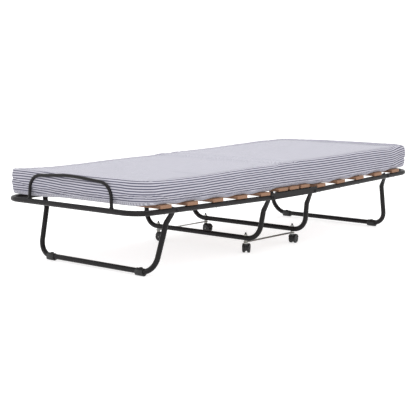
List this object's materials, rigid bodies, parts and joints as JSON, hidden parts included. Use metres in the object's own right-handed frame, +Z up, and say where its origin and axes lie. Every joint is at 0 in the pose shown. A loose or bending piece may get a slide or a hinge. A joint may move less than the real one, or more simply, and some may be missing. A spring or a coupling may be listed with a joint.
{
  "type": "folding cot",
  "caption": "Folding guest bed: two hinged tubular half frames with wooden slats, folding U-shaped end legs, caster legs in the middle, end hoops and a striped foam mattress.",
  "frame": {"origin": "on the floor under the middle of the cot", "axes": "+X along the length from the head end to the foot end, +Y to the left side, +Z up"},
  "size_m": [1.9, 0.8132, 0.3949],
  "materials": {
    "frame_paint": "satin charcoal powder coat",
    "slat_wood": "planed softwood, stained reddish brown",
    "black_plastic": "moulded black plastic",
    "wheel_plastic": "moulded black plastic, slightly worn tread",
    "zinc_plate": "zinc-plated steel",
    "bolt_steel": "black oxide steel",
    "ticking": "woven cotton ticking, dark stripes on a pale ground"
  },
  "bodies": {
    "centre_section": {"left_centre_plate": "frame_paint", "right_centre_plate": "frame_paint", "centre_slat_1": "slat_wood", "centre_slat_2": "slat_wood", "centre_slat_3": "slat_wood", "head_mid_leg": "frame_paint", "foot_mid_leg": "frame_paint", "left_link_strip": "zinc_plate", "right_link_strip": "zinc_plate", "centre_mattress": "ticking", "head_left_fold_bolt": "bolt_steel", "head_left_caster_stem": "zinc_plate", "head_right_fold_bolt": "bolt_steel", "head_right_caster_stem": "zinc_plate", "foot_left_fold_bolt": "bolt_steel", "foot_left_caster_stem": "zinc_plate", "foot_right_fold_bolt": "bolt_steel", "foot_right_caster_stem": "zinc_plate"},
    "head_half": {"head_frame_tube": "frame_paint", "head_hoop": "frame_paint", "head_slat_1": "slat_wood", "head_slat_2": "slat_wood", "head_slat_3": "slat_wood", "head_slat_4": "slat_wood", "head_slat_5": "slat_wood", "head_mattress": "ticking", "head_left_leg_bolt": "bolt_steel", "head_right_leg_bolt": "bolt_steel"},
    "head_leg": {"head_end_leg": "frame_paint", "head_left_glide": "black_plastic", "head_right_glide": "black_plastic"},
    "foot_half": {"foot_frame_tube": "frame_paint", "foot_hoop": "frame_paint", "foot_slat_1": "slat_wood", "foot_slat_2": "slat_wood", "foot_slat_3": "slat_wood", "foot_slat_4": "slat_wood", "foot_slat_5": "slat_wood", "foot_mattress": "ticking", "foot_left_leg_bolt": "bolt_steel", "foot_right_leg_bolt": "bolt_steel"},
    "foot_leg": {"foot_end_leg": "frame_paint", "foot_left_glide": "black_plastic", "foot_right_glide": "black_plastic"},
    "head_left_caster": {"head_left_caster_body": "black_plastic"},
    "head_left_wheels": {"head_left_axle": "zinc_plate", "head_left_wheel_a": "wheel_plastic", "head_left_wheel_b": "wheel_plastic"},
    "head_right_caster": {"head_right_caster_body": "black_plastic"},
    "head_right_wheels": {"head_right_axle": "zinc_plate", "head_right_wheel_a": "wheel_plastic", "head_right_wheel_b": "wheel_plastic"},
    "foot_left_caster": {"foot_left_caster_body": "black_plastic"},
    "foot_left_wheels": {"foot_left_axle": "zinc_plate", "foot_left_wheel_a": "wheel_plastic", "foot_left_wheel_b": "wheel_plastic"},
    "foot_right_caster": {"foot_right_caster_body": "black_plastic"},
    "foot_right_wheels": {"foot_right_axle": "zinc_plate", "foot_right_wheel_a": "wheel_plastic", "foot_right_wheel_b": "wheel_plastic"}
  },
  "joints": [
    {"name": "head_fold", "type": "hinge", "parent": "centre_section", "child": "head_half", "pos_m": [-0.147, 0, 0.2504], "axis": [0, 1, 0], "range_deg": [0, 88.75], "deforming": ["centre_mattress"]},
    {"name": "head_leg_fold", "type": "hinge", "parent": "head_half", "child": "head_leg", "pos_m": [-0.73405, 0, 0.26321], "axis": [0, -1, 0], "range_deg": [0, 100]},
    {"name": "foot_fold", "type": "hinge", "parent": "centre_section", "child": "foot_half", "pos_m": [0.147, 0, 0.2504], "axis": [0, -1, 0], "range_deg": [0, 88.75], "deforming": ["centre_mattress"]},
    {"name": "foot_leg_fold", "type": "hinge", "parent": "foot_half", "child": "foot_leg", "pos_m": [0.73405, 0, 0.26321], "axis": [0, 1, 0], "range_deg": [0, 100]},
    {"name": "head_left_swivel", "type": "hinge", "parent": "centre_section", "child": "head_left_caster", "pos_m": [-0.16311, 0.2615, 0.0412], "axis": [0, 0, 1], "continuous": true},
    {"name": "head_left_roll", "type": "hinge", "parent": "head_left_caster", "child": "head_left_wheels", "pos_m": [-0.16311, 0.2485, 0.019], "axis": [1, 0, 0], "continuous": true},
    {"name": "head_right_swivel", "type": "hinge", "parent": "centre_section", "child": "head_right_caster", "pos_m": [-0.16311, -0.2615, 0.0412], "axis": [0, 0, 1], "continuous": true},
    {"name": "head_right_roll", "type": "hinge", "parent": "head_right_caster", "child": "head_right_wheels", "pos_m": [-0.15185, -0.255, 0.019], "axis": [-0.5, 0.866, 0], "continuous": true},
    {"name": "foot_left_swivel", "type": "hinge", "parent": "centre_section", "child": "foot_left_caster", "pos_m": [0.16311, 0.2615, 0.0412], "axis": [0, 0, 1], "continuous": true},
    {"name": "foot_left_roll", "type": "hinge", "parent": "foot_left_caster", "child": "foot_left_wheels", "pos_m": [0.1613, 0.24863, 0.019], "axis": [0.9903, -0.1392, 0], "continuous": true},
    {"name": "foot_right_swivel", "type": "hinge", "parent": "centre_section", "child": "foot_right_caster", "pos_m": [0.16311, -0.2615, 0.0412], "axis": [0, 0, 1], "continuous": true},
    {"name": "foot_right_roll", "type": "hinge", "parent": "foot_right_caster", "child": "foot_right_wheels", "pos_m": [0.17582, -0.2588, 0.019], "axis": [-0.2079, 0.9781, 0], "continuous": true}
  ]
}
